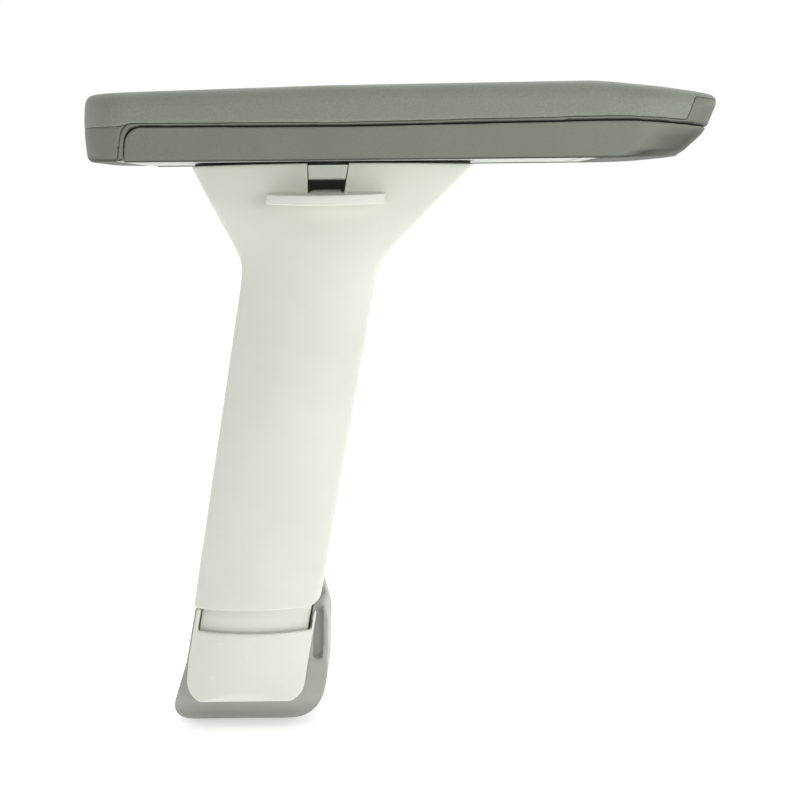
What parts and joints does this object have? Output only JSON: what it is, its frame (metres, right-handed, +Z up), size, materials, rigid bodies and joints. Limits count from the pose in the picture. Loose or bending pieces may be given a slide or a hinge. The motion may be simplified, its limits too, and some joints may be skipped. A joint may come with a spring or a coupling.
{
  "type": "chair armrest",
  "caption": "Height-adjustable chair armrest: grey soft pad on a white T-headed sleeve with a lift paddle, over a locking column and a J-shaped seat bracket.",
  "frame": {"origin": "middle of the four seat bolt holes, on the bracket arm's top face, which bolts up against the seat", "axes": "+X to the front of the chair and the pad's nose, +Z up, +Y in under the seat; the column stands at Y = -0.1 m and the outer side of the armrest faces -Y"},
  "size_m": [0.2553, 0.1895, 0.2749],
  "materials": {
    "white_plastic": "fine moulded satin",
    "pad_skin": "fine-grained matte foam skin",
    "pad_shell": "fine-grained matte",
    "bracket_paint": "satin powder coat on a casting",
    "plate_plastic": "satin",
    "black_plastic": "satin",
    "steel": "zinc plated"
  },
  "bodies": {
    "base": {"seat_bracket": "bracket_paint", "bracket_cover": "white_plastic", "inner_column": "white_plastic", "column_bolts": "steel", "column_cap": "black_plastic"},
    "upright": {"upright_sleeve": "white_plastic", "lower_glide_ring": "black_plastic", "head_cap": "white_plastic", "cap_screws": "steel", "lock_spine": "steel", "spine_screws": "steel", "lever_pin": "steel", "return_spring": "steel", "pivot_stud": "steel", "pivot_nut": "steel", "glide_plate": "black_plastic"},
    "lever": {"height_paddle": "white_plastic"},
    "rod": {"release_rod": "steel", "rod_collar": "black_plastic"},
    "bolt": {"lock_bolt": "steel"},
    "turntable": {"slide_carriage": "black_plastic", "friction_washer": "steel"},
    "pad": {"pad_base": "plate_plastic", "slide_rails": "black_plastic", "rail_screws": "steel", "slide_bumpers": "black_plastic", "pad_tray": "pad_shell", "pad_skirt": "pad_shell", "pad_insert": "black_plastic", "pad_cushion": "pad_skin", "pad_screws": "steel"}
  },
  "joints": [
    {"name": "height_slide", "type": "slide", "parent": "base", "child": "upright", "axis": [0.1736, 0, 0.9848], "range_m": [0, 0.06]},
    {"name": "rod_push", "type": "slide", "parent": "upright", "child": "rod", "axis": [-0.1736, 0, -0.9848], "range_m": [0, 0.0027], "stiffness_N_per_m": 800, "springref_m": -0.004, "deforming": ["return_spring"]},
    {"name": "lever_lift", "type": "hinge", "parent": "upright", "child": "lever", "pos_m": [0.04, -0.111, 0.2115], "axis": [-1, 0, 0], "range_deg": [0, 13.6]},
    {"name": "bolt_draw", "type": "slide", "parent": "upright", "child": "bolt", "axis": [0, -1, 0], "range_m": [0, 0.0028]},
    {"name": "pad_swivel", "type": "hinge", "parent": "upright", "child": "turntable", "pos_m": [0.041, -0.103, 0.2265], "axis": [0, 0, 1], "range_deg": [-20, 20]},
    {"name": "pad_depth", "type": "slide", "parent": "turntable", "child": "pad", "axis": [1, 0, 0], "range_m": [-0.025, 0.025]}
  ],
  "couplings": [
    {"joint": "lever_lift", "follows": "rod_push", "rad_per_m": 87.266},
    {"joint": "bolt_draw", "follows": "rod_push", "ratio": 1}
  ]
}
